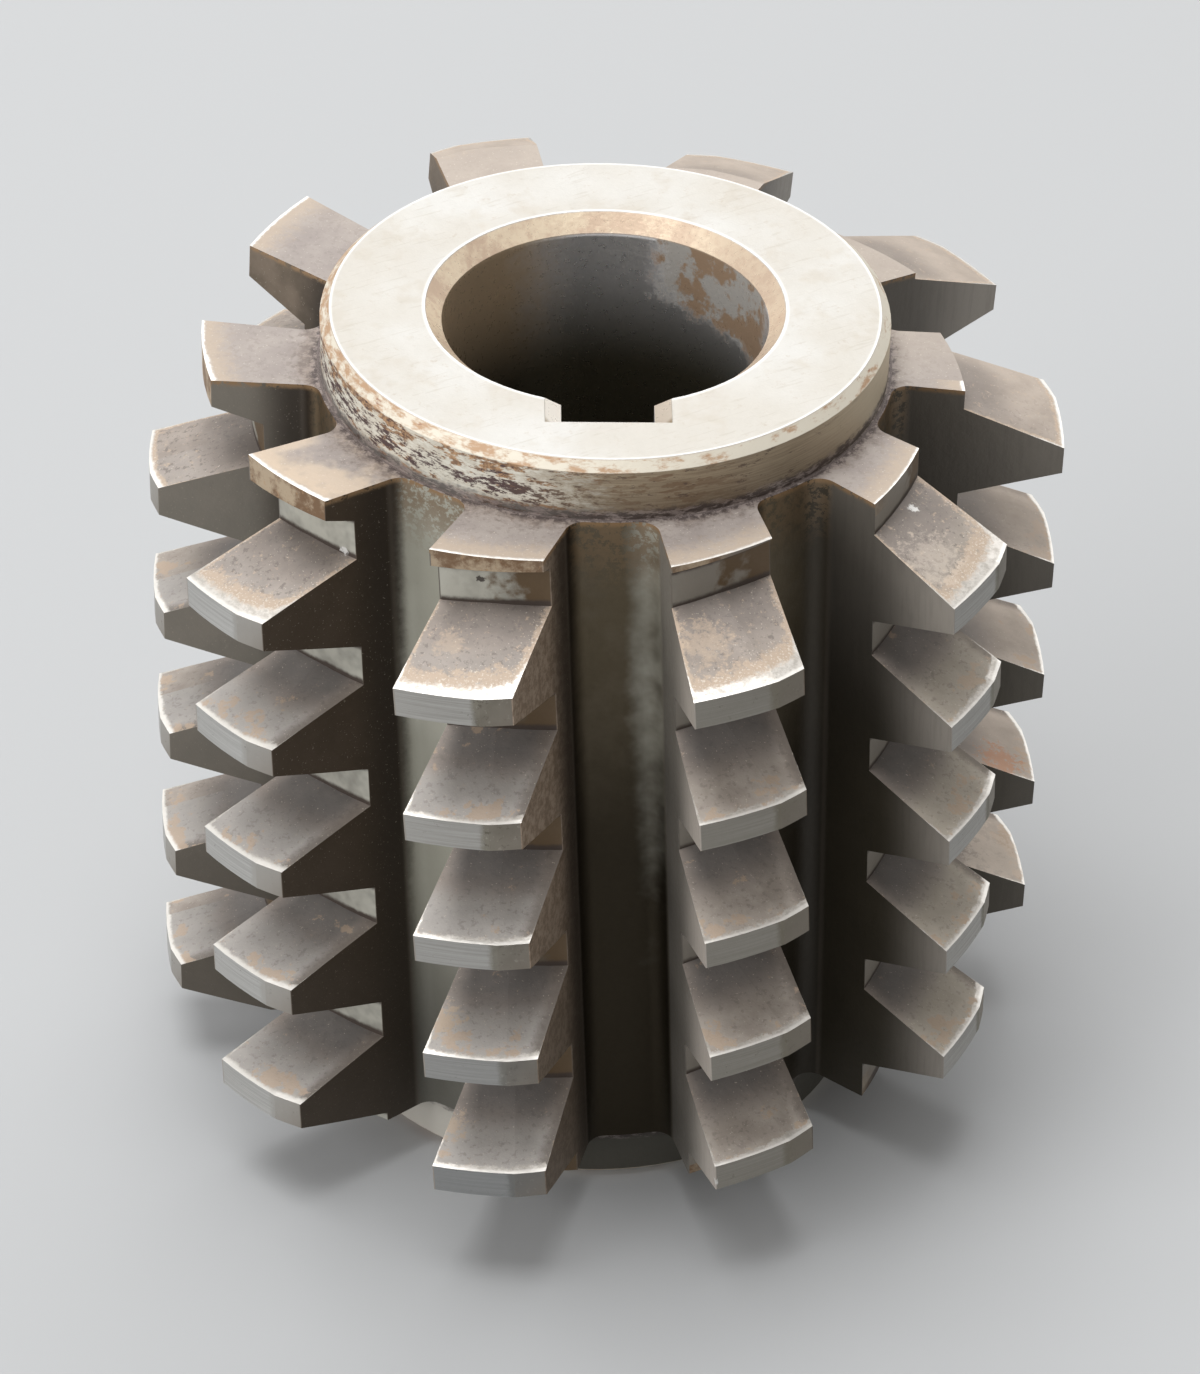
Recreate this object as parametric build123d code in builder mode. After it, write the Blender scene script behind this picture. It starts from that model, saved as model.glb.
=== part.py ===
from build123d import *
import os
from math import asin, cos, degrees, pi, radians, sin, sqrt, tan

# A solid gear hob: a single-start right-hand thread of rack teeth on a bored blank,
# cut into ten rows of cutting teeth by gashes that cross the thread square.
# Millimetres. The bore runs along +Z and the lower hub face lies on Z = 0.
# The keyway opens towards -Y.

# Blank
total_length = 61.0
hub_height = 4.2
hub_diameter = 38.3
hub_chamfer = 0.65

# Bore and keyway, for a 22 mm arbor with a 6 mm key
bore_diameter = 22.0
keyway_width = 6.1
keyway_floor_distance = 13.1
keyway_corner_radius = 0.4
mouth_chamfer = 1.1

# Thread
module = 3.175
tip_diameter = 62.6
tooth_depth = 6.9
addendum_share = 1.25
pressure_angle = 20.0
middle_tooth_rise = 0.33

# The thread fades out over the last teeth at both ends
full_teeth_each_way = 24
fading_teeth = 5
fading_power = 2.2

# Rows of teeth, with angles in degrees
rows = 10
middle_rake_angle = -41.76
tooth_arc = 14.5
land_arc = 9.9
land_drop = 0.4
heel_drop = 1.05

# Gashes between the rows
gash_floor_diameter = 39.1
gash_angle = 31.0
gash_corner_radius = 1.3

# Room that blanks and cutters keep beyond the faces they meet
overrun = 2.0
overrun_arc = 2.5

# Radii and heights that follow
tip_radius = tip_diameter / 2
root_radius = tip_radius - tooth_depth
floor_radius = gash_floor_diameter / 2
base_radius = (root_radius + floor_radius) / 2
hub_radius = hub_diameter / 2
bore_radius = bore_diameter / 2
middle_z = total_length / 2 + middle_tooth_rise
below_body = hub_height - overrun
above_body = total_length - hub_height + overrun

# The pitch is taken square to the thread, so the lead along the axis is a little longer
pitch = pi * module
addendum = addendum_share * module
pitch_radius = tip_radius - addendum
lead_angle = degrees(asin(module / (2 * pitch_radius)))
lead = pitch / cos(radians(lead_angle))
flank_slope = tan(radians(pressure_angle))
tip_width = pitch / 2 - 2 * addendum * flank_slope

# The gashes wind the other way, so each tooth sits a little less than a row's angle on
gash_twist = -degrees(tan(radians(lead_angle)) / pitch_radius)
row_angle = 360 / rows
row_drop = lead / rows / (1 - lead * gash_twist / 360)
row_turn = -row_angle - gash_twist * row_drop

# Every relieved surface turns about an axis set off from the hob's own. The ground
# land falls gently, the heel behind it faster, and the roots evenly all along.
land_offset = land_drop / sin(radians(land_arc))
heel_offset = (heel_drop - land_drop) / (sin(radians(tooth_arc)) - sin(radians(land_arc)))
heel_lift = (heel_offset - land_offset) * sin(radians(land_arc))
root_offset = heel_drop / sin(radians(tooth_arc))
blank_arc = tooth_arc + 4 * overrun_arc


def root_point(angle, turn):
    """Returns a point of the root land whose rake edge is turned by an angle."""
    fall = root_offset * sin(radians(angle))
    distance = sqrt(root_radius**2 + fall**2) - fall
    place = radians(angle + turn)
    return (distance * cos(place), distance * sin(place))


def row_plane(height):
    """Returns the level plane whose X direction lies on the middle row's rake face."""
    turn = middle_rake_angle + gash_twist * (height - middle_z)
    return Plane.XY.offset(height).rotated((0, 0, turn))


def tooth_places(indices):
    """Returns places of teeth along the thread, counted downwards from the middle one."""
    places = []
    for index in indices:
        position = (0, 0, middle_z - index * row_drop)
        places.append(Location(position, (0, 0, middle_rake_angle + index * row_turn)))
    return places


def relieved_blank(outer_radius, lift, offset):
    """Returns part of a ring of rack profile along the thread, its rake edge at angle 0."""
    reach = sqrt(tip_radius**2 + offset**2) - tip_radius
    start = asin(offset / (tip_radius + reach)) - radians(overrun_arc)
    half_top = tip_width / 2 + flank_slope * (tip_radius - outer_radius)
    half_base = half_top + flank_slope * (outer_radius + lift - base_radius)
    top = reach + lift + outer_radius
    base = reach + base_radius
    section_plane = Plane(
        origin=(0, -offset, 0),
        x_dir=(cos(start), sin(start), 0),
        z_dir=(sin(start), -cos(start), 0),
    )
    with BuildPart() as blank:
        with BuildSketch(section_plane):
            with BuildLine():
                Polyline(
                    (base, -half_base),
                    (top, -half_top),
                    (top, half_top),
                    (base, half_base),
                    close=True,
                )
            make_face()
        revolve(axis=Axis((0, -offset, 0), (0, 0, 1)), revolution_arc=blank_arc)
    return blank.part.rotate(Axis.X, lead_angle)


# Full tooth, bounded by its ground land and its heel together
land_blank = relieved_blank(tip_radius, 0, land_offset)
heel_blank = relieved_blank(tip_radius, heel_lift, heel_offset)
with BuildPart() as tooth:
    add(land_blank)
    add(heel_blank, mode=Mode.INTERSECT)

# Stubs in which the thread fades out, highest first
stubs = []
for step in range(1, fading_teeth + 1):
    height_share = (1 - step / (fading_teeth + 2)) ** fading_power
    stubs.append(relieved_blank(root_radius + height_share * tooth_depth, 0, root_offset))

# One gash, wound along the hob and running out past both end planes
heel_angle = radians(tooth_arc - row_angle)
heel_x = (tip_radius - heel_drop) * cos(heel_angle)
heel_y = (tip_radius - heel_drop) * sin(heel_angle)
wedge_slope = tan(radians(gash_angle))
wedge_start = heel_x + heel_y / wedge_slope
wedge_end = tip_radius + overrun
with BuildPart() as gash:
    for height in (below_body, above_body):
        with BuildSketch(row_plane(height)) as gash_section:
            with BuildLine():
                Polyline(
                    (wedge_start, 0),
                    (wedge_end, 0),
                    (wedge_end, (wedge_start - wedge_end) * wedge_slope),
                    close=True,
                )
            make_face()
            Circle(floor_radius, mode=Mode.SUBTRACT)
            floor_corners = gash_section.vertices().sort_by_distance((0, 0, 0))[:2]
            fillet(floor_corners, gash_corner_radius)
    loft(ruled=True)

# Hub bar with its two face edges broken
with BuildPart() as hub_bar:
    Cylinder(hub_radius, total_length, align=(Align.CENTER, Align.CENTER, Align.MIN))
    chamfer(hub_bar.edges().filter_by(GeomType.CIRCLE), hub_chamfer)

# Bore with a countersunk mouth at each end
mouth_edge = bore_radius + mouth_chamfer + overrun
with BuildPart() as bore:
    with BuildSketch(Plane.XZ):
        with BuildLine():
            Polyline(
                (0, -overrun),
                (mouth_edge, -overrun),
                (bore_radius, mouth_chamfer),
                (bore_radius, total_length - mouth_chamfer),
                (mouth_edge, total_length + overrun),
                (0, total_length + overrun),
                close=True,
            )
        make_face()
    revolve(axis=Axis.Z)

# Keyway along the whole bore
with BuildPart() as keyway:
    with BuildSketch() as keyway_section:
        with Locations((0, -keyway_floor_distance)):
            Rectangle(
                keyway_width, keyway_floor_distance, align=(Align.CENTER, Align.MIN)
            )
        fillet(keyway_section.vertices().group_by(Axis.Y)[0], keyway_corner_radius)
    extrude(amount=total_length)

# The keyway's edges are broken like the bore's at both faces
mouth_growth = mouth_chamfer + overrun
mouth_heights = [
    (mouth_chamfer, -overrun),
    (total_length - mouth_chamfer, total_length + overrun),
]
keyway_mouths = []
for inner_height, outer_height in mouth_heights:
    with BuildPart() as keyway_mouth:
        for height, growth in ((inner_height, 0), (outer_height, mouth_growth)):
            with BuildSketch(Plane.XY.offset(height)):
                with Locations((0, -keyway_floor_distance - growth)):
                    Rectangle(
                        keyway_width + 2 * growth,
                        keyway_floor_distance + growth,
                        align=(Align.CENTER, Align.MIN),
                    )
        loft(ruled=True)
    keyway_mouths.append(keyway_mouth.part)

with BuildPart() as gear_hob:
    # Root body with its ten relieved lands, wound with the gashes
    for height in (below_body, above_body):
        with BuildSketch(row_plane(height)):
            with BuildLine():
                for row in range(rows):
                    turn = row * row_angle
                    arc = ThreePointArc(
                        root_point(-overrun_arc, turn),
                        root_point(row_angle / 2 - overrun_arc, turn),
                        root_point(row_angle - overrun_arc, turn),
                    )
                    Line(arc @ 1, root_point(-overrun_arc, turn + row_angle))
            make_face()
    loft(ruled=True)
    # Teeth along the thread, with stubs after the last full ones at both ends
    with Locations(*tooth_places(range(-full_teeth_each_way, full_teeth_each_way + 1))):
        add(tooth.part)
    for step, stub in enumerate(stubs, start=1):
        index = full_teeth_each_way + step
        with Locations(*tooth_places((-index, index))):
            add(stub)
    # End planes
    with Locations((0, 0, total_length / 2)):
        Cylinder(wedge_end, total_length - 2 * hub_height, mode=Mode.INTERSECT)
    # Gashes
    with PolarLocations(0, rows):
        add(gash.part, mode=Mode.SUBTRACT)
    # Hubs, bore and keyway
    add(hub_bar.part)
    add(bore.part, mode=Mode.SUBTRACT)
    add(keyway.part, mode=Mode.SUBTRACT)
    for keyway_mouth_part in keyway_mouths:
        add(keyway_mouth_part, mode=Mode.SUBTRACT)

gear_hob.part.label = "gear_hob"
os.makedirs("parts", exist_ok=True)
export_step(gear_hob.part, "parts/gear_hob.step")
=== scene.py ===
import math
import bpy
from mathutils import Matrix, Vector


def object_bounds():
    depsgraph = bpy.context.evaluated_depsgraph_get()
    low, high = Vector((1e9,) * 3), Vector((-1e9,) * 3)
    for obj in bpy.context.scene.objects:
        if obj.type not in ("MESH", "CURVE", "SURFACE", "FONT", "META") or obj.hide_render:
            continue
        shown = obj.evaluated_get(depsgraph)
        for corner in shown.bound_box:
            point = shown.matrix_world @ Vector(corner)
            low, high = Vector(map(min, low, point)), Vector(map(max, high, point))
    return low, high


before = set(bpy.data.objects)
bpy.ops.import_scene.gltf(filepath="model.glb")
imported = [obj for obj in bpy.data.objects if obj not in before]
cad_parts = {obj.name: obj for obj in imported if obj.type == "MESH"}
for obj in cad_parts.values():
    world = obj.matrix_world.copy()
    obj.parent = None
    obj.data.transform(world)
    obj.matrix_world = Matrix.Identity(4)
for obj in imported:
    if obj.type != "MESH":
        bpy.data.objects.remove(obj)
cad_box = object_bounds()

# The gear hob: one bar of high-speed steel, turned, gashed and form-relieved, then hardened
# and ground. Collars, bore, keyway and teeth are all cut from that bar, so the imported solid
# stays as it is and only gets the finish of old, oiled tool steel.
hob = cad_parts["gear_hob"]
steel = bpy.data.materials.new("tool_steel")
steel.use_nodes = True
steel.node_tree.nodes.remove(steel.node_tree.nodes["Principled BSDF"])

# Places on the hob, in millimetres and degrees. A row of teeth begins at its cutting face,
# and a tooth is counted along the thread from the middle one, which stands in row 0.
MILLIMETRES = 1000.0
HEIGHT = round(cad_box[1][2] * MILLIMETRES, 3)
ROWS = 10
ROW_ANGLE = 360 / ROWS
LEAD = 9.9915
MIDDLE_Z = HEIGHT / 2 + 0.33
MIDDLE_RAKE = -41.76
GASH_TWIST = -0.1219


class Field:
    """A number or colour that changes over the steel; sums on it add shader nodes."""

    tree = steel.node_tree

    def __init__(self, socket):
        self.socket = socket

    @classmethod
    def node(cls, kind, settings, values, out=0):
        """Adds one node: first its settings, then the values and links of its sockets."""
        made = cls.tree.nodes.new(kind)
        for name, setting in settings.items():
            if name == "stops":
                made.color_ramp.interpolation = "EASE"
                for stop, (position, tone) in zip(made.color_ramp.elements, setting):
                    stop.position = position
                    stop.color = (*tone, 1)
            else:
                setattr(made, name, setting)
        for name, value in values.items():
            socket = made.inputs[name]
            if isinstance(value, Field):
                cls.tree.links.new(value.socket, socket)
            elif socket.type == "RGBA":
                socket.default_value = (*value, 1)
            else:
                socket.default_value = value
        return cls(made.outputs[out])

    def math(self, operation, *others):
        return Field.node("ShaderNodeMath", {"operation": operation},
                          dict(enumerate((self, *others))))

    def __add__(self, other):
        return self.math("ADD", other)

    __radd__ = __add__

    def __sub__(self, other):
        return self.math("SUBTRACT", other)

    def __rsub__(self, other):
        return Field.node("ShaderNodeMath", {"operation": "SUBTRACT"}, {0: other, 1: self})

    def __mul__(self, other):
        return self.math("MULTIPLY", other)

    __rmul__ = __mul__

    def __truediv__(self, other):
        return self.math("DIVIDE", other)

    def __pow__(self, other):
        return self.math("POWER", other)

    def floor(self):
        return self.math("FLOOR")

    def size(self):
        return self.math("ABSOLUTE")

    def least(self, other):
        return self.math("MINIMUM", other)

    def most(self, other):
        return self.math("MAXIMUM", other)

    def equals(self, number):
        """Gives 1 where a count, such as that of the rows, is this number."""
        return self.math("COMPARE", number, 0.5)

    def ramp(self, start, end, height=1.0):
        """Rises smoothly from 0 at start to height at end; start may be the larger."""
        return Field.node("ShaderNodeMapRange", {"interpolation_type": "SMOOTHSTEP"},
                          {0: self, 1: start, 2: end, 3: 0.0, 4: height})

    def tones(self, start, first, end, second):
        """A colour that passes smoothly from first to second as a pattern rises."""
        return Field.node("ShaderNodeValToRGB", {"stops": ((start, first), (end, second))}, {0: self})


def scaled(vector, factor):
    return Field.node("ShaderNodeVectorMath", {"operation": "SCALE"}, {0: vector, "Scale": factor})


place = scaled(Field.node("ShaderNodeTexCoord", {}, {}, out="Object"), MILLIMETRES)
x, y, z = (Field.node("ShaderNodeSeparateXYZ", {}, {0: place}, out=axis) for axis in range(3))
radius = (x * x + y * y).math("SQRT")
turned = y.math("ARCTAN2", x) * math.degrees(1) - MIDDLE_RAKE
wound = turned - (z - MIDDLE_Z) * GASH_TWIST
row = ((wound + ROW_ANGLE / 3) / ROW_ANGLE).floor()
past_rake = wound - row * ROW_ANGLE
gash = ((wound + ROW_ANGLE / 2) / ROW_ANGLE).floor()
in_gash = wound - gash * ROW_ANGLE
along = z - MIDDLE_Z - turned * (LEAD / 360)
lap = ((along + LEAD / 2) / LEAD).floor()
along = along - lap * LEAD
tooth = row + lap * ROWS
past = past_rake * math.radians(1)

# Depth of a point below each surface of its tooth. Tips and roots fall away behind the
# cutting edge, here in millimetres a radian, and the last teeth at both ends fade out.
FULL_TEETH = 24
FADING_STEPS = 7
FADING_POWER = 2.2
TIP_RADIUS = 31.3
ROOT_RADIUS = 24.4
TIP_WIDTH = 2.1
FLANK_SLOPE = math.tan(math.radians(20))
LAND_FALL = 2.33
HEEL_FALL = 8.0
HEEL_LIFT = 0.97
ROOT_FALL = 4.15
HEEL_WALL_START = 9.73
HEEL_WALL_ANGLE = math.radians(31)
from_rake = radius * past.math("SINE")
share = ((FULL_TEETH + FADING_STEPS - tooth.size()) / FADING_STEPS).least(1.0).most(0.0) ** FADING_POWER
full = share.ramp(0.9, 0.99)
drop = (past * LAND_FALL).most(past * HEEL_FALL - HEEL_LIFT) * full + (past * ROOT_FALL) * (1 - full)
below_tip = share * (TIP_RADIUS - ROOT_RADIUS) + ROOT_RADIUS - drop - radius
half_width = (TIP_RADIUS - drop - radius) * FLANK_SLOPE + TIP_WIDTH / 2
into_flank = half_width - along.size()
into_root = past * -ROOT_FALL + ROOT_RADIUS - radius
next_past = past - math.radians(ROW_ANGLE)
before_heel = ((radius * next_past.math("COSINE") - HEEL_WALL_START) * -math.tan(HEEL_WALL_ANGLE)
               - radius * next_past.math("SINE")) * math.cos(HEEL_WALL_ANGLE)

# Which surface a point lies on, as a share from 0 to 1: the sides of the teeth, the gash
# floors and end planes, and the collars with their chamfers, faces and bore
COLLAR_HEIGHT = 4.2
COLLAR_RADIUS = 19.15
FACE_RADIUS = COLLAR_RADIUS - 0.65
KEYWAY_FLOOR = 13.1
GASH_FLOOR = 19.55
HALF_LENGTH = HEIGHT / 2
from_top = HEIGHT - COLLAR_HEIGHT - z
from_end = from_top.size().least((z - COLLAR_HEIGHT).size())
from_middle = (z - HALF_LENGTH).size()
facing = Field.node("ShaderNodeNewGeometry", {}, {}, out="Normal")
upright = Field.node("ShaderNodeSeparateXYZ", {}, {0: facing}, out=2).size()
above_floor = radius.ramp(GASH_FLOOR + 0.65, GASH_FLOOR + 1.35)
above_gash = radius.ramp(ROOT_RADIUS - 2.1, ROOT_RADIUS - 1.6)
end_plane = (from_end.ramp(0.06, 0.02) * radius.ramp(COLLAR_RADIUS - 0.05, COLLAR_RADIUS + 0.1)
             * upright.ramp(0.9, 0.97))
on_flank = upright.ramp(0.5, 0.8) * (1 - end_plane) * above_gash
level = (on_flank + end_plane).least(1.0)
on_wall = (1 - on_flank) * (1 - end_plane) * above_floor
on_rake = from_rake.size().ramp(0.12, 0.04) * on_wall
on_heel = before_heel.size().ramp(0.12, 0.04) * on_wall
on_land = on_wall * above_gash * (1 - on_rake) * (1 - on_heel)
on_tip = below_tip.size().ramp(0.15, 0.05) * radius.ramp(ROOT_RADIUS - 0.4, ROOT_RADIUS) * on_land
on_root = into_root.size().ramp(0.3, 0.1) * on_land * (1 - on_tip)
on_gash = (radius.ramp(GASH_FLOOR - 0.25, GASH_FLOOR - 0.1) * (1 - above_gash)
           * (1 - on_rake) * (1 - on_heel) * (1 - end_plane))
on_hub = (radius.ramp(COLLAR_RADIUS + 0.25, COLLAR_RADIUS + 0.1)
          * radius.ramp(FACE_RADIUS - 0.3, FACE_RADIUS))
hub_face = (from_middle.ramp(HALF_LENGTH - 0.06, HALF_LENGTH - 0.02)
            * radius.ramp(FACE_RADIUS + 0.06, FACE_RADIUS - 0.02))
hub_wall = on_hub * (1 - hub_face)
hub_chamfer = on_hub * from_middle.ramp(HALF_LENGTH - 0.7, HALF_LENGTH - 0.62) * (1 - hub_face)
in_bore = radius.ramp(KEYWAY_FLOOR + 1.4, KEYWAY_FLOOR + 0.8) * (1 - hub_face)


# Patterns of wear and dirt, from broad blotches to dust, and strokes drawn the way each
# surface was ground or turned. Round the collars they are drawn out along the turning.
def blend(share, under, over):
    """Lays one colour or place over another by a share from 0 to 1."""
    return Field.node("ShaderNodeMix", {"data_type": "RGBA"}, {0: share, 6: under, 7: over}, out=2)


def cloud(place, scale, detail, roughness):
    """A soft noise around 0.5; a larger scale makes it finer."""
    return Field.node("ShaderNodeTexNoise", {},
                      {"Vector": place, "Scale": scale, "Detail": detail, "Roughness": roughness})


def point(across, deep, high):
    return Field.node("ShaderNodeCombineXYZ", {}, {0: across, 1: deep, 2: high})


round_hub = point(x * 0.5, y * 0.5, z * 1.7)
blotch = cloud(place, 0.11, 2.0, 0.55)
mottle = cloud(blend(hub_wall, place, scaled(round_hub, 3.6)), 0.32, 3.0, 0.65)
grain = cloud(place, 2.4, 2.0, 0.7)
speck = cloud(blend(hub_wall, place, round_hub), 1.5, 4.0, 0.8)
dust = cloud(place, 7.0, 1.0, 0.5)
torn = (speck - 0.5) * 1.5 + (mottle - 0.5) * 1.5 + (grain - 0.5) * 1.2
tip_strokes = point(along * 9.0, past_rake * 0.06, tooth)
rake_strokes = point(radius * 2.5, z * 0.2, row)
wall_strokes = point(x * 0.3, y * 0.3, z * 9.0)
face_strokes = point(x * 0.3 + y * 0.12, y * 2.6 - x * 1.4, z)
strokes = blend(on_rake, tip_strokes, rake_strokes)
strokes = blend(hub_wall, strokes, wall_strokes)
strokes = blend(hub_face, strokes, face_strokes)
strokes = cloud(strokes, 1.0, 2.0, 0.65)

# Flanks: a smooth skin left by hardening and coolant, grey-brown towards the tips, blue-black
# at the roots as painted shade, dark along the heel of the lower teeth from dirt and painted
# shade, and paler on the back right as painted light
DARK_SKIN = (0.235, 0.20, 0.175)
LIGHT_SKIN = (0.32, 0.275, 0.242)
DARK_OUTER_SKIN = (0.35, 0.305, 0.265)
LIGHT_OUTER_SKIN = (0.46, 0.41, 0.365)
CLEAN_ROW = (0.45, 0.445, 0.44)
YELLOWED_ROW = (0.50, 0.46, 0.37)
SKIN_PORE = (0.13, 0.108, 0.095)
DARK_LIT_SKIN = (0.44, 0.37, 0.31)
LIGHT_LIT_SKIN = (0.52, 0.44, 0.37)
BLUE_BLACK = (0.15, 0.152, 0.155)
BROWN_BLACK = (0.185, 0.162, 0.148)
HEEL_SHADE = (0.15, 0.125, 0.105)
top_lap = tooth.ramp(9.0, 13.0)
skin = mottle.tones(0.3, DARK_SKIN, 0.7, LIGHT_SKIN)
outer = (below_tip + (mottle - 0.5) * 3.0).ramp(4.9, 2.2) * (1 - top_lap * 0.7)
outer_skin = mottle.tones(0.35, DARK_OUTER_SKIN, 0.65, LIGHT_OUTER_SKIN)
skin = blend(outer * (1.0 - x.ramp(-9.0, -18.0, 0.2)), skin, outer_skin)
skin = blend(row.ramp(-1.4, -1.6) * outer * 0.5, skin, CLEAN_ROW)
skin = blend(row.equals(0.0) * outer * 0.4, skin, YELLOWED_ROW)
skin = blend(grain.ramp(0.46, 0.32) * (top_lap * 0.3 + 0.3), skin, SKIN_PORE)
# Paler towards the back right of the hob: painted light.
painted_back_right_light = (y + x * 0.5).ramp(4.0, 18.0)
skin = blend(painted_back_right_light * 0.75, skin, mottle.tones(0.3, DARK_LIT_SKIN, 0.7, LIGHT_LIT_SKIN))
# Painted shade: the roots darken to blue-black, most in the middle of each flank's arc.
root_shade = below_tip.ramp(2.4, 6.0) * (past_rake - 8.0).size().ramp(9.0, 4.5)
skin = blend(root_shade * on_flank * 0.55, skin, blend(top_lap, BLUE_BLACK, BROWN_BLACK))
# Darker along the heel edge of the lower teeth: partly dirt and partly painted shade.
heel_shade = (before_heel + torn * 0.3).ramp(1.1, 0.1) * (1 - top_lap)
skin = blend(heel_shade * on_flank * 0.8, skin, HEEL_SHADE)

# Worn margins: rubbed bright at the tips, through a ragged belt of tan specks. The end
# of the hob that cut most is worn most.
TAN_SPECK = (0.50, 0.39, 0.295)
CRUMB = (0.62, 0.56, 0.48)
TAN_STAIN = (0.50, 0.38, 0.28)
DULL_WORN_STEEL = (0.44, 0.41, 0.37)
BRIGHT_WORN_STEEL = (0.62, 0.59, 0.55)
used = (row + 1.5).size().ramp(2.3, 1.7)
tip_margin = (used * (top_lap * 0.4 + 0.1) + 0.24
              + past_rake.ramp(2.0, 13.0) * used * (top_lap * 0.15 + 0.1))
heel_margin = used * top_lap * 0.42 + 0.04
tip_reach = below_tip / tip_margin
heel_reach = before_heel / heel_margin + below_tip.ramp(0.5, 4.0, 1.6)
rake_reach = from_rake / 0.18 + below_tip.ramp(0.0, 4.0, 1.4)
wear = tip_reach.least(heel_reach).least(rake_reach) + torn * (1.2 - top_lap * 0.4)
belt = wear.ramp(3.4, 0.9) * on_flank * (top_lap * 0.75 + 0.25)
tan_specks = (speck + belt * 0.3 + top_lap * 0.05).ramp(0.62, 0.76)
skin = blend(tan_specks * on_flank * 0.75, skin, TAN_SPECK)
skin = blend((dust + belt * 0.14).ramp(0.70, 0.78) * on_flank * 0.7, skin, CRUMB)
stain = (mottle + (speck - 0.5) * 0.35 + tip_reach.ramp(9.0, 2.0, 0.12)).ramp(0.66, 0.70)
skin = blend(stain * on_flank * (1 - top_lap) * 0.7, skin, TAN_STAIN)
worn = (wear + (dust - 0.5) * 0.6).ramp(1.25, 0.7) * on_flank
colour = blend(worn, skin, speck.tones(0.35, DULL_WORN_STEEL, 0.6, BRIGHT_WORN_STEEL))

# Cutting edges: the worn corners between a tip and its sides, painted bright in broken lines,
# partly bare worn steel and partly a painted highlight. They are broader on the two left-hand rows and
# on the end planes.
EDGE_HIGHLIGHT_AND_WEAR = (0.80, 0.775, 0.735)
wide_rim_rows = (row + 3.5).size().ramp(1.0, 0.6)
rim_width = end_plane * 0.12 + wide_rim_rows * 0.14 + 0.19
# Painted highlight and bare worn steel along the cutting edges.
rim_highlight_and_wear = (below_tip / rim_width + torn * 0.6).ramp(1.3, 0.4) * level
colour = blend(rim_highlight_and_wear * 0.85, colour, EDGE_HIGHLIGHT_AND_WEAR)
polish = worn.most(rim_highlight_and_wear)

# End planes: the same skin, lighter, tan towards the rim, with a broad brown stain and a
# rough crust of grime against the collar
DARK_END = (0.30, 0.262, 0.243)
LIGHT_END = (0.37, 0.328, 0.30)
END_PORE = (0.19, 0.158, 0.142)
TAN_RIM = (0.50, 0.40, 0.30)
TAN_ROW = (0.56, 0.45, 0.34)
LIT_END = (0.48, 0.41, 0.34)
DARK_STAIN = (0.12, 0.086, 0.066)
LIGHT_STAIN = (0.29, 0.225, 0.185)
DARK_CRUST = (0.06, 0.044, 0.044)
LIGHT_CRUST = (0.31, 0.26, 0.245)
from_collar = radius - COLLAR_RADIUS
end_colour = mottle.tones(0.3, DARK_END, 0.7, LIGHT_END)
end_colour = blend(grain.ramp(0.50, 0.34, 0.3), end_colour, END_PORE)
end_colour = blend((below_tip + torn * 1.6).ramp(2.6, 0.4, 0.6), end_colour, TAN_RIM)
tan_row = row.equals(-3.0) * (mottle + below_tip * -0.04).ramp(0.25, 0.5, 0.7)
end_colour = blend(tan_row, end_colour, TAN_ROW)
# The end planes are paler on the back right too: painted light.
end_colour = blend(painted_back_right_light * 0.5, end_colour, LIT_END)
end_colour = blend(dust.ramp(0.70, 0.76, 0.6), end_colour, CRUMB)
stained = (from_collar + torn * 1.6 + x.ramp(-8.0, 8.0, 0.6)).ramp(2.2, 0.5, 0.6)
stain_colour = speck.tones(0.42, DARK_STAIN, 0.62, LIGHT_STAIN)
end_colour = blend(stained * (1 - painted_back_right_light * 0.5), end_colour, stain_colour)
crust = (from_collar + torn * 0.6).ramp(0.8, 0.3, 0.75)
crust_colour = speck.tones(0.46, DARK_CRUST, 0.60, LIGHT_CRUST)
end_colour = blend(crust, end_colour, crust_colour)
colour = blend(end_plane * (1 - rim_highlight_and_wear), colour, end_colour)

# Tips: ground grey behind the cutting edge, dull olive and pitted on the heel behind it.
# One row's tips are darkened olive as painted shade, the next has painted bluish shade lower down, and
# the far left is clean.
DULL_GROUND = (0.35, 0.345, 0.33)
BRIGHT_GROUND = (0.47, 0.465, 0.45)
GROUND_PIT = (0.10, 0.09, 0.07)
DARK_OLIVE = (0.165, 0.150, 0.122)
LIGHT_OLIVE = (0.235, 0.22, 0.182)
OLIVE_GRAIN = (0.42, 0.40, 0.36)
OLIVE_PIT = (0.07, 0.06, 0.045)
CLEAN_HEEL = (0.40, 0.39, 0.37)
SHADED_OLIVE_TIP = (0.19, 0.168, 0.128)
LOW_BLUISH_TIP_SHADE = (0.16, 0.175, 0.19)
BARE_WALL = (0.2, 0.17, 0.14)
LAND_ARC_END = 9.7
ground_tip = strokes.tones(0.3, DULL_GROUND, 0.7, BRIGHT_GROUND)
heel_tip = mottle.tones(0.35, DARK_OLIVE, 0.65, LIGHT_OLIVE)
heel_tip = blend(grain.ramp(0.6, 0.72, 0.6), heel_tip, OLIVE_GRAIN)
heel_tip = blend(speck.ramp(0.42, 0.36, 0.7), heel_tip, OLIVE_PIT)
heel_tip = blend(x.ramp(-14.0, -22.0, 0.8), heel_tip, CLEAN_HEEL)
behind_land = (past_rake + torn * 0.5).ramp(LAND_ARC_END - 0.5, LAND_ARC_END + 0.5)
tip_colour = blend(behind_land, ground_tip, heel_tip)
tip_colour = blend(speck.ramp(0.35, 0.30, 0.7), tip_colour, GROUND_PIT)
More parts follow.
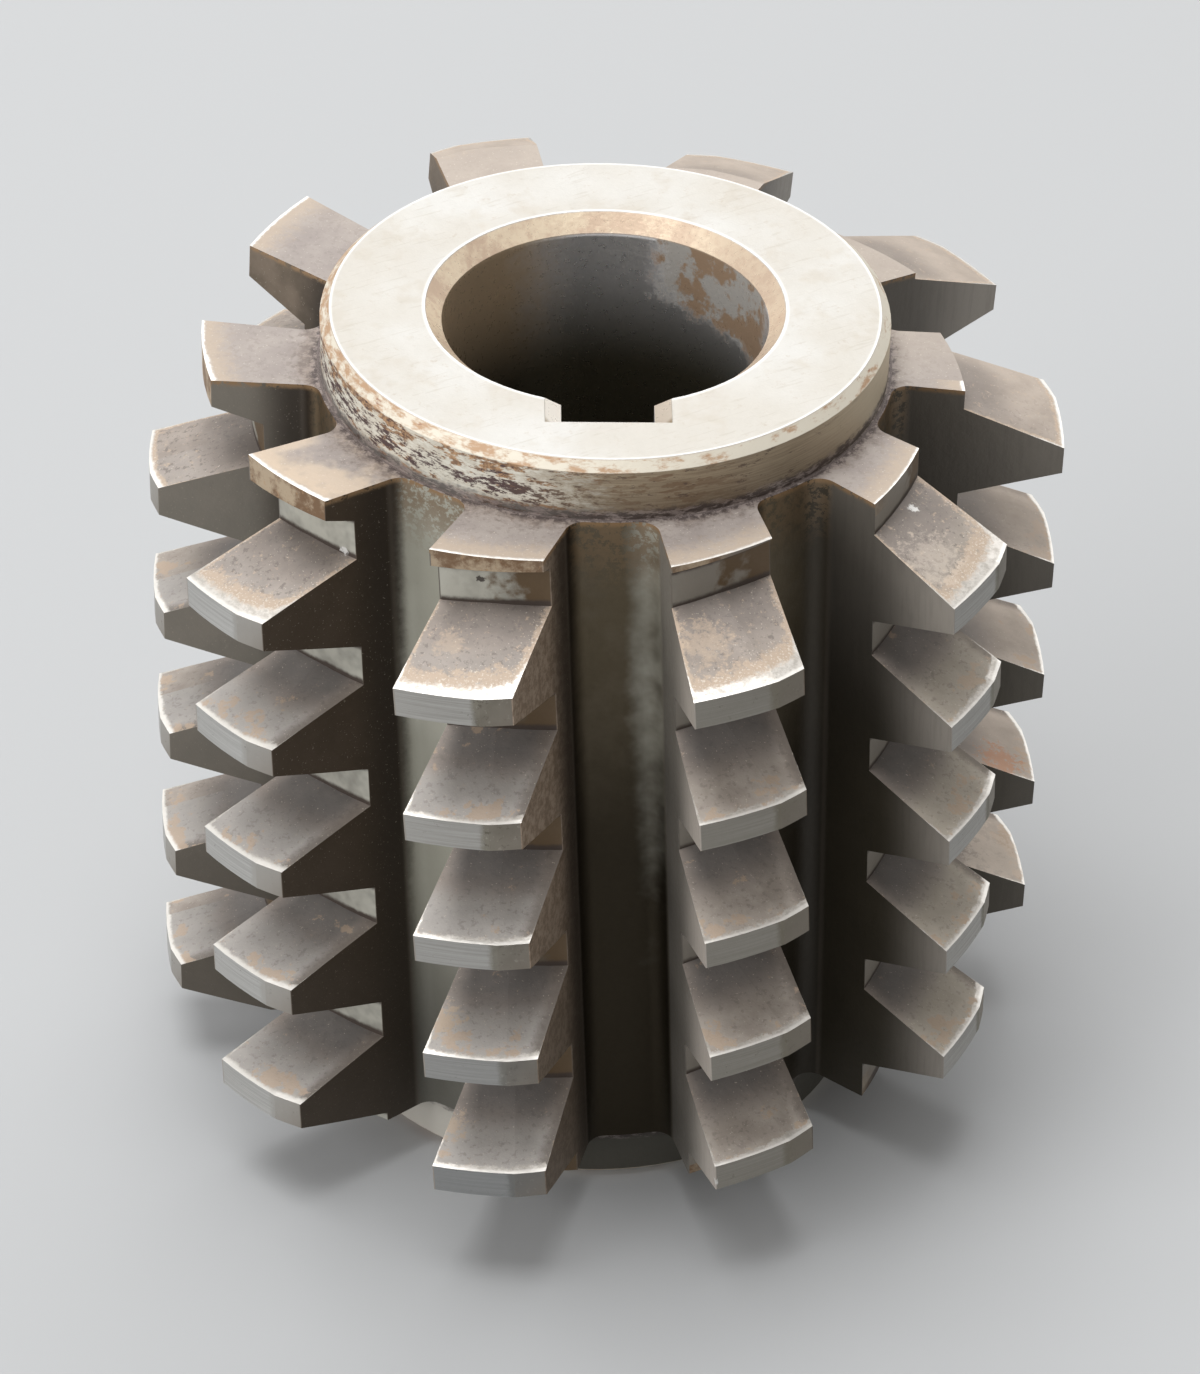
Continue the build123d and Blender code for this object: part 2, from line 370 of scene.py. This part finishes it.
# Painted shade on the tips of one row.
tip_colour = blend((row + 1.0).size().ramp(1.4, 0.3, 0.65), tip_colour, SHADED_OLIVE_TIP)
# Painted shade, bluish, on the lower tips of the next row.
tip_colour = blend(row.equals(-2.0) * tooth.ramp(6.0, -28.0, 0.6), tip_colour, LOW_BLUISH_TIP_SHADE)
wall_colour = blend(on_tip * full, BARE_WALL, tip_colour)

# Cutting faces: ground smooth up the gash, bright at the tips and darker farther down the
# gash and lower on the hob as painted shade, with one pale row and one painted black in shade up to its
# tips
BROWN_RAKE_TIP = (0.33, 0.30, 0.265)
PALE_RAKE_TIP = (0.50, 0.45, 0.40)
SHADED_RAKE_TIP = (0.07, 0.06, 0.045)
DEEP_RAKE = (0.035, 0.03, 0.023)
PALE_DEEP_RAKE = (0.17, 0.155, 0.135)
LOW_RAKE_SHADOW = (0.06, 0.05, 0.032)
UPPER_RAKE = (0.33, 0.30, 0.26)
RAKE_STROKE = (0.03, 0.027, 0.024)
rake_tip = blend(row.equals(-1.0), BROWN_RAKE_TIP, PALE_RAKE_TIP)
# Painted shade: the row behind the middle one is black up to its tips.
rake_tip = blend(row.equals(1.0) * 0.8, rake_tip, SHADED_RAKE_TIP)
rake_deep = blend(row.equals(-1.0), DEEP_RAKE, PALE_DEEP_RAKE)
# Painted shade, lower on the hob, on the middle row and the rows to its right.
lower_rake_shade = from_top.ramp(8.0, 28.0) * row.ramp(-0.6, -0.4)
rake_deep = blend(lower_rake_shade * 0.75, rake_deep, LOW_RAKE_SHADOW)
# Darker farther down the gash: painted shade.
rake_colour = blend((radius - lower_rake_shade * 1.6).ramp(23.6, 30.8), rake_deep, rake_tip)
rake_colour = blend(from_top.ramp(20.0, 2.0, 0.35), rake_colour, UPPER_RAKE)
rake_colour = blend(strokes.ramp(0.55, 0.35, 0.1), rake_colour, RAKE_STROKE)
wall_colour = blend(on_rake, wall_colour, rake_colour)

# Heel walls: left from the gashing cutter, brown with baked oil and fine specks, blackest
# where the oil has stood and down in the gash
DARK_BAKED_OIL = (0.13, 0.10, 0.07)
LIGHT_BAKED_OIL = (0.20, 0.155, 0.115)
DARK_WIPED_WALL = (0.25, 0.18, 0.125)
LIGHT_WIPED_WALL = (0.43, 0.335, 0.255)
GREY_WALL = (0.24, 0.225, 0.195)
STANDING_OIL = (0.052, 0.033, 0.018)
DEEP_WALL = (0.03, 0.021, 0.014)
WALL_DUST = (0.36, 0.32, 0.26)
LOW_WALL = (0.06, 0.046, 0.032)
oiled = row.equals(-3.0)
wiped = row.equals(-2.0)
heel_colour = mottle.tones(0.35, DARK_BAKED_OIL, 0.7, LIGHT_BAKED_OIL)
heel_colour = blend(wiped * 0.85, heel_colour, speck.tones(0.4, DARK_WIPED_WALL, 0.6, LIGHT_WIPED_WALL))
heel_colour = blend(row.equals(-4.0) * 0.7, heel_colour, GREY_WALL)
heel_colour = blend(oiled * 0.8, heel_colour, STANDING_OIL)
heel_colour = blend(radius.ramp(24.6, 21.2, 0.88), heel_colour, DEEP_WALL)
heel_colour = blend(dust.ramp(0.69, 0.75, 0.5), heel_colour, WALL_DUST)
heel_colour = blend(from_top.ramp(20.0, 46.0, 0.6), heel_colour, LOW_WALL)
wall_colour = blend(on_heel, wall_colour, heel_colour)

# Gash floors: pale where light falls on one gash and where a sheen lies by the next cutting face, both
# painted light; olive-brown where oil has settled, black in the corner under the heel wall, and rusty
# where they run out through the top
LOW_OIL = (0.036, 0.028, 0.017)
UPPER_OIL = (0.125, 0.100, 0.064)
OIL_BLOTCH = (0.15, 0.125, 0.09)
RAKE_CORNER = (0.03, 0.024, 0.016)
BRIGHT_PALE_FLOOR = (0.45, 0.44, 0.375)
DULL_PALE_FLOOR = (0.36, 0.35, 0.29)
LOW_PALE_FLOOR = (0.10, 0.095, 0.08)
TOP_STAIN = (0.21, 0.145, 0.085)
HEEL_CORNER = (0.042, 0.031, 0.022)
GASH_RUST = (0.30, 0.19, 0.10)
upper = from_top.ramp(28.0, 4.0)
floor_colour = blend(upper, LOW_OIL, UPPER_OIL)
floor_colour = blend(mottle.ramp(0.35, 0.65) * upper * 0.5, floor_colour, OIL_BLOTCH)
rake_corner = in_gash.ramp(-5.5, -2.5) * (1 - gash.equals(-1.0)) * 0.7
floor_colour = blend(rake_corner, floor_colour, RAKE_CORNER)
pale_floor = blotch.tones(0.35, BRIGHT_PALE_FLOOR, 0.6, DULL_PALE_FLOOR)
pale_floor = blend(from_top.ramp(30.0, 48.0, 0.85), pale_floor, LOW_PALE_FLOOR)
# Painted light: one gash floor pale where light falls on it, and a painted sheen by the cutting face of
# the next.
lit_gash_floor = gash.equals(-2.0)
painted_sheen = gash.equals(-1.0) * in_gash.ramp(-9.0, -3.0) * from_top.ramp(46.0, 8.0)
painted_floor_light = (lit_gash_floor * 1.2 + painted_sheen * 0.55 + (mottle - 0.5) * 0.6).ramp(0.1, 0.9)
floor_colour = blend(painted_floor_light, floor_colour, pale_floor)
top_stain = (from_top + torn * 1.5).ramp(6.0, 1.0)
floor_colour = blend(top_stain * speck.ramp(0.42, 0.52, 0.8), floor_colour, TOP_STAIN)
heel_corner = (in_gash + from_top * 0.03 + torn * 0.4).ramp(-15.0, -16.9)
floor_colour = blend(heel_corner, floor_colour, HEEL_CORNER)
wall_colour = blend(on_gash, wall_colour, floor_colour)
gash_rust = (from_top + torn * 0.15).ramp(0.5, 0.12) * (on_gash + on_rake + on_heel).least(1.0)
wall_colour = blend(gash_rust * speck.ramp(0.4, 0.5), wall_colour, GASH_RUST)
oily = on_gash * (1 - painted_floor_light) * (1 - rake_corner)

# Root lands between the teeth: cream steel in one row and under the stubs, elsewhere
# brown, with old oil at the heels and corners. The stubs' own tops are patched with rust.
DARK_CREAM = (0.33, 0.32, 0.28)
LIGHT_CREAM = (0.50, 0.49, 0.43)
BROWN_ROOT = (0.14, 0.112, 0.08)
GREY_ROOT = (0.26, 0.235, 0.20)
ROOT_OIL = (0.13, 0.085, 0.045)
ROOT_CORNER = (0.07, 0.052, 0.042)
STUB_RUST = (0.19, 0.112, 0.06)
STUB_STEEL = (0.44, 0.345, 0.24)
STUB_GRAIN = (0.42, 0.26, 0.14)
UNDER_STUBS = 48.0
cream = oiled.most((z - UNDER_STUBS).ramp(1.0, 3.0) * x.ramp(6.0, -2.0))
root_colour = blend(row.ramp(-1.9, -1.1), BROWN_ROOT, GREY_ROOT)
root_colour = blend(cream, root_colour, mottle.tones(0.35, DARK_CREAM, 0.6, LIGHT_CREAM))
root_oil = (mottle + speck * 0.2 + past_rake * 0.045).ramp(0.98, 1.14) * (1 - oiled)
root_colour = blend(root_oil, root_colour, ROOT_OIL)
root_corner = (into_flank * -1 + torn * 0.15).ramp(0.45, 0.1)
root_colour = blend(root_corner, root_colour, ROOT_CORNER)
wall_colour = blend(on_root, wall_colour, root_colour)
stub_colour = blend((mottle + (speck - 0.5) * 0.5).ramp(0.40, 0.60), STUB_RUST, STUB_STEEL)
stub_colour = blend(grain.ramp(0.6, 0.7, 0.5), stub_colour, STUB_GRAIN)
wall_colour = blend(on_tip * (1 - full), wall_colour, stub_colour)

# Hub collars: turned walls. One side is pale steel under rust, the other an even tan with
# painted light on its far right; grime lies all round in the corner, and the lower collar has a painted
# shadow at the front.
PALE_COLLAR = (0.80, 0.78, 0.70)
DULL_COLLAR = (0.62, 0.57, 0.475)
ORANGE_RUST = (0.50, 0.31, 0.17)
BROWN_RUST = (0.25, 0.15, 0.09)
BLACK_RUST = (0.105, 0.068, 0.066)
DARK_TAN = (0.27, 0.205, 0.135)
LIGHT_TAN = (0.37, 0.295, 0.20)
TAN_RUST = (0.19, 0.11, 0.06)
LOW_TAN = (0.15, 0.108, 0.07)
TAN_PIT = (0.12, 0.08, 0.06)
LIT_FAR_RIGHT_TAN = (0.68, 0.58, 0.43)
LOWER_PALE = (0.62, 0.59, 0.53)
LOWER_COLLAR_SHADOW = (0.085, 0.08, 0.065)
PALE_CHAMFER = (0.70, 0.65, 0.55)
TAN_CHAMFER = (0.47, 0.31, 0.195)
CHAMFER_RUST = (0.26, 0.14, 0.12)
patches = (blotch - 0.5) * 0.35
rusty = mottle * 0.55 + speck * 0.45 + patches
hub_colour = speck.tones(0.3, PALE_COLLAR, 0.6, DULL_COLLAR)
hub_rust = (rusty + from_middle.ramp(28.3, 29.9, 0.05)).ramp(0.515, 0.57)
hub_colour = blend(hub_rust, hub_colour, grain.tones(0.38, ORANGE_RUST, 0.62, BROWN_RUST))
band = (from_middle - 28.0).size().ramp(1.3, 0.1)
hub_colour = blend((speck + patches + band * 0.10).ramp(0.56, 0.62), hub_colour, BLACK_RUST)
tan_wall = strokes.tones(0.35, DARK_TAN, 0.65, LIGHT_TAN)
tan_rust = (mottle + speck * 0.3).ramp(0.66, 0.74) * x.ramp(12.0, 4.0, 0.65)
tan_wall = blend(tan_rust, tan_wall, TAN_RUST)
tan_wall = blend(from_middle.ramp(29.5, 27.0, 0.5), tan_wall, LOW_TAN)
tan_wall = blend(speck.ramp(0.58, 0.64, 0.85), tan_wall, TAN_PIT)
hub_colour = blend((x + speck * 8.0).ramp(-3.0, 5.0), hub_colour, tan_wall)
# Painted light on the far right of the collar.
hub_colour = blend((x + y * 0.5).ramp(4.0, 15.0, 0.8), hub_colour, LIT_FAR_RIGHT_TAN)
# Painted shadow across the front of the lower collar, pale at its left.
lower_collar_with_shadow = blend((x + speck * 4.0).ramp(-7.0, -3.0), LOWER_PALE, LOWER_COLLAR_SHADOW)
hub_colour = blend(z.ramp(COLLAR_HEIGHT + 0.8, COLLAR_HEIGHT - 0.2), hub_colour, lower_collar_with_shadow)
corner_grime = (from_end + torn * 0.5).ramp(0.9, 0.3) * on_hub
hub_colour = blend(corner_grime * 0.85, hub_colour, crust_colour)
rusty_chamfer = (rusty - patches - x * 0.003).ramp(0.46, 0.60)
chamfer_colour = blend(rusty_chamfer, PALE_CHAMFER, TAN_CHAMFER)
chamfer_colour = blend(speck.ramp(0.63, 0.68, 0.6), chamfer_colour, CHAMFER_RUST)
hub_colour = blend(hub_chamfer, hub_colour, chamfer_colour)

# Hub faces: the flat ends that the hob is clamped by, ground bright, faintly scratched and
# stained, and brightest where their rims are broken
BRIGHT_FACE = (0.53, 0.52, 0.495)
DULL_FACE = (0.485, 0.462, 0.42)
FACE_STAIN = (0.43, 0.385, 0.32)
FACE_SCRATCH = (0.36, 0.32, 0.265)
FACE_SPECK = (0.39, 0.33, 0.265)
FACE_RIM = (0.66, 0.65, 0.63)
MOUTH_RADIUS = 12.1
face_colour = blotch.tones(0.35, BRIGHT_FACE, 0.65, DULL_FACE)
face_colour = blend(mottle.ramp(0.52, 0.7, 0.4), face_colour, FACE_STAIN)
face_colour = blend(strokes.ramp(0.6, 0.66, 0.25), face_colour, FACE_SCRATCH)
face_colour = blend(speck.ramp(0.58, 0.72, 0.5), face_colour, FACE_SPECK)
outer_rim = radius.ramp(FACE_RADIUS - 0.25, FACE_RADIUS - 0.08)
inner_rim = radius.ramp(MOUTH_RADIUS + 0.3, MOUTH_RADIUS + 0.1)
face_colour = blend(outer_rim.most(inner_rim), face_colour, FACE_RIM)
hub_colour = blend(hub_face, hub_colour, face_colour)

# Bore: reamed smooth, grey at the back, brown at the left, with a rusty patch near its
# mouth; the mouth and the keyway's edges are broken with a tan chamfer
BORE_MOUTH = (1.0, 1.0, 1.02)
SHADED_DEEP_BORE = (0.19, 0.17, 0.12)
LEFT_MOUTH = (0.56, 0.43, 0.29)
SHADED_DEEP_LEFT = (0.06, 0.052, 0.036)
BORE_RUST = (0.40, 0.28, 0.19)
BORE_HAZE = (0.50, 0.48, 0.45)
CREAM_CHAMFER = (0.86, 0.72, 0.54)
RUSTY_CHAMFER = (0.68, 0.52, 0.39)
RIGHT_CHAMFER = (0.50, 0.38, 0.29)
PALE_KEY_EDGE = (0.95, 0.92, 0.86)
DULL_KEY_EDGE = (0.58, 0.51, 0.43)
RUST_TURN = 82.0
# Bright at the mouth and darker down into the bore, on the brown left side too: painted shade.
bore_colour = blend(from_top.ramp(-1.0, 8.0), BORE_MOUTH, SHADED_DEEP_BORE)
on_left = (x + torn * 1.5).ramp(-1.0, -7.0)
bore_colour = blend(on_left, bore_colour, blend(from_top.ramp(-1.0, 9.0), LEFT_MOUTH, SHADED_DEEP_LEFT))
from_patch = turned - RUST_TURN
rust_patch = (from_patch + torn * 9.0).size().ramp(36.0, 26.0)
rust_patch = rust_patch * (from_top + from_patch * 0.03 + torn * 1.5).ramp(3.2, 1.8)
bore_rust = blend((mottle + (speck - 0.5) * 0.4).ramp(0.47, 0.56), BORE_RUST, BORE_HAZE)
bore_colour = blend(rust_patch, bore_colour, bore_rust)
mouth_colour = blend((mottle * 0.5 + speck * 0.5).ramp(0.42, 0.60), CREAM_CHAMFER, RUSTY_CHAMFER)
mouth_colour = blend(x.ramp(3.0, 10.0, 0.5), mouth_colour, RIGHT_CHAMFER)
by_keyway = y.ramp(-10.0, -10.4) * x.size().ramp(4.9, 4.6)
mouth_colour = blend(by_keyway, mouth_colour, blend(x.ramp(-2.0, 2.0), PALE_KEY_EDGE, DULL_KEY_EDGE))
bore_colour = blend(from_middle.ramp(HALF_LENGTH - 1.25, HALF_LENGTH - 1.05), bore_colour, mouth_colour)
hub_colour = blend(in_bore, hub_colour, bore_colour)

# Single marks on the teeth: chips knocked bright, a rust bloom, tan stains, pale patches and a dark
# spot.
# Each has its place, its width in millimetres, its colour and its strength.
BARE = (0.72, 0.71, 0.69)
DARK = (0.04, 0.03, 0.025)
RUST = (0.55, 0.25, 0.12)
TAN = (0.50, 0.39, 0.29)
PALE_PATCH = (0.62, 0.54, 0.46)


def mark(under, spot, width, tint, strength):
    reach = Field.node("ShaderNodeVectorMath", {"operation": "DISTANCE"}, {0: place, 1: spot}, out=1)
    return blend((reach / width + (0.5 - speck) * 5.0).ramp(1.2, 0.5, strength), under, tint)


for spot, width, tint, strength in (
        ((20.1, -14.0, 54.3), 0.32, BARE, 1.0),
        ((18.6, -11.8, 54.9), 0.2, BARE, 0.8),
        ((-17.1, -15.8, 51.9), 0.35, BARE, 1.0),
        ((28.8, -1.3, 23.9), 1.5, RUST, 0.6),
        # a broad pale patch low on the back right, painted light like the back right of the flanks
        ((29.5, 0.2, 13.7), 3.0, PALE_PATCH, 0.5),
        ((-10.1, -25.4, 51.3), 1.0, TAN, 0.35),
        ((-10.5, -26.7, 20.9), 1.2, TAN, 0.8),
        ((-10.2, -26.4, 11.2), 1.2, TAN, 0.7),
        ((6.2, -26.4, 52.2), 1.7, TAN, 0.45),
        ((21.2, -18.0, 52.9), 2.0, PALE_PATCH, 0.35)):
    colour = mark(colour, spot, width, tint, strength)
for spot, width, tint, strength in (
        ((-17.1, -15.8, 51.9), 0.35, BARE, 1.0),
        ((7.98, -30.14, 9.66), 0.25, BARE, 0.9),
        ((-8.25, -22.45, 54.45), 0.26, DARK, 0.9)):
    wall_colour = mark(wall_colour, spot, width, tint, strength)

# The finish of the steel, in three kinds: the level flanks and end planes, the upright
# walls of the teeth and gashes, and the collars with the bore. Bare metal shines more
# than skin, and a faint relief breaks up the gloss of all three.
SKIN_ROUGHNESS = 0.58
RELIEF_METRES = 0.00008
relief = Field.node("ShaderNodeBump", {}, {
    "Strength": 0.35, "Distance": RELIEF_METRES, "Height": cloud(place, 1.3, 3.0, 0.75)})


def finish(tint, metallic, roughness):
    return Field.node("ShaderNodeBsdfPrincipled", {}, {
        "Base Color": tint, "Metallic": metallic.most(0.3),
        "Roughness": roughness + (grain - 0.5) * 0.2, "Normal": relief})


level_steel = finish(colour, polish * 0.7, SKIN_ROUGHNESS - polish * 0.18)
wall_metal = (on_tip * full * 0.5).most(oily * 0.85)
wall_steel = finish(wall_colour, wall_metal, SKIN_ROUGHNESS - on_rake * 0.12 - oily * 0.1)
bore_metal = in_bore * from_middle.ramp(HALF_LENGTH - 1.2, HALF_LENGTH - 1.4)
bore_metal = bore_metal * (0.85 - (rust_patch * 0.6).most(on_left * 0.4))
hub_metal = (hub_face * 0.55).most(bore_metal)
hub_steel = finish(hub_colour, hub_metal, SKIN_ROUGHNESS - hub_face * 0.12 - in_bore * 0.28)
on_collar = radius.math("LESS_THAN", COLLAR_RADIUS + 0.05)
teeth_steel = Field.node("ShaderNodeMixShader", {}, {0: level, 1: wall_steel, 2: level_steel})
whole = Field.node("ShaderNodeMixShader", {}, {0: on_collar, 1: teeth_steel, 2: hub_steel})
Field.tree.links.new(whole.socket, steel.node_tree.nodes["Material Output"].inputs["Surface"])
hob.data.materials.clear()
hob.data.materials.append(steel)

# Floor: a plain pale sheet of paper, far wider than the hob, that lies under the lower
# hub face
PAPER_GREY = (0.45, 0.46, 0.47, 1)
bpy.ops.mesh.primitive_plane_add(size=3.0, location=(0, 0, 0))
floor = bpy.context.object
floor.name = "floor"
paper = bpy.data.materials.new("pale_paper")
paper.use_nodes = True
paper_finish = paper.node_tree.nodes["Principled BSDF"]
paper_finish.inputs["Base Color"].default_value = PAPER_GREY
paper_finish.inputs["Roughness"].default_value = 0.9
floor.data.materials.append(paper)


# Light: three soft boxes, one high behind the hob, one overhead and one at the front
# left, and a weak warm fill from all round
def soft_box(name, place, aim_height, width, height, power):
    data = bpy.data.lights.new(name, "AREA")
    data.shape = "RECTANGLE"
    data.size = width
    data.size_y = height
    data.energy = power
    lamp = bpy.data.objects.new(name, data)
    bpy.context.scene.collection.objects.link(lamp)
    lamp.location = place
    aim = Vector((0, 0, aim_height)) - Vector(place)
    lamp.rotation_euler = aim.to_track_quat("-Z", "Y").to_euler()


soft_box("back_box", (0.05, 0.75, 0.60), 0.04, 1.2, 0.5, 4.5)
soft_box("top_box", (-0.12, 0.0, 0.9), 0.03, 0.55, 0.55, 6)
soft_box("left_box", (-0.85, -0.5, 0.45), 0.03, 0.7, 0.7, 6)
WARM_FILL = (1.0, 0.98, 0.95, 1)
world = bpy.data.worlds.new("studio")
bpy.context.scene.world = world
world.use_nodes = True
world.node_tree.nodes["Background"].inputs["Color"].default_value = WARM_FILL
world.node_tree.nodes["Background"].inputs["Strength"].default_value = 0.4

# Camera: it stands where the photograph was taken from, found from the tooth corners and
# hub circles, and is rolled a little about its line of sight
STANDPOINT = (-0.007222, -0.284016, 0.240094)
FORWARD = Vector((0.02091, 0.80258, -0.59617))
SIDEWAYS = Vector((0.99966, -0.02605, 0.0))
ROLL = math.radians(1.252)
camera_data = bpy.data.cameras.new("camera")
camera_data.lens = 131.08
camera_data.sensor_width = 36
camera_data.clip_start = 0.01
camera = bpy.data.objects.new("camera", camera_data)
bpy.context.scene.collection.objects.link(camera)
above = SIDEWAYS.cross(FORWARD)
right = math.cos(ROLL) * SIDEWAYS + math.sin(ROLL) * above
up = math.cos(ROLL) * above - math.sin(ROLL) * SIDEWAYS
turn = Matrix((right, up, -FORWARD)).transposed().to_4x4()
camera.matrix_world = Matrix.Translation(STANDPOINT) @ turn
bpy.context.scene.camera = camera
bpy.context.scene.view_settings.view_transform = "Standard"
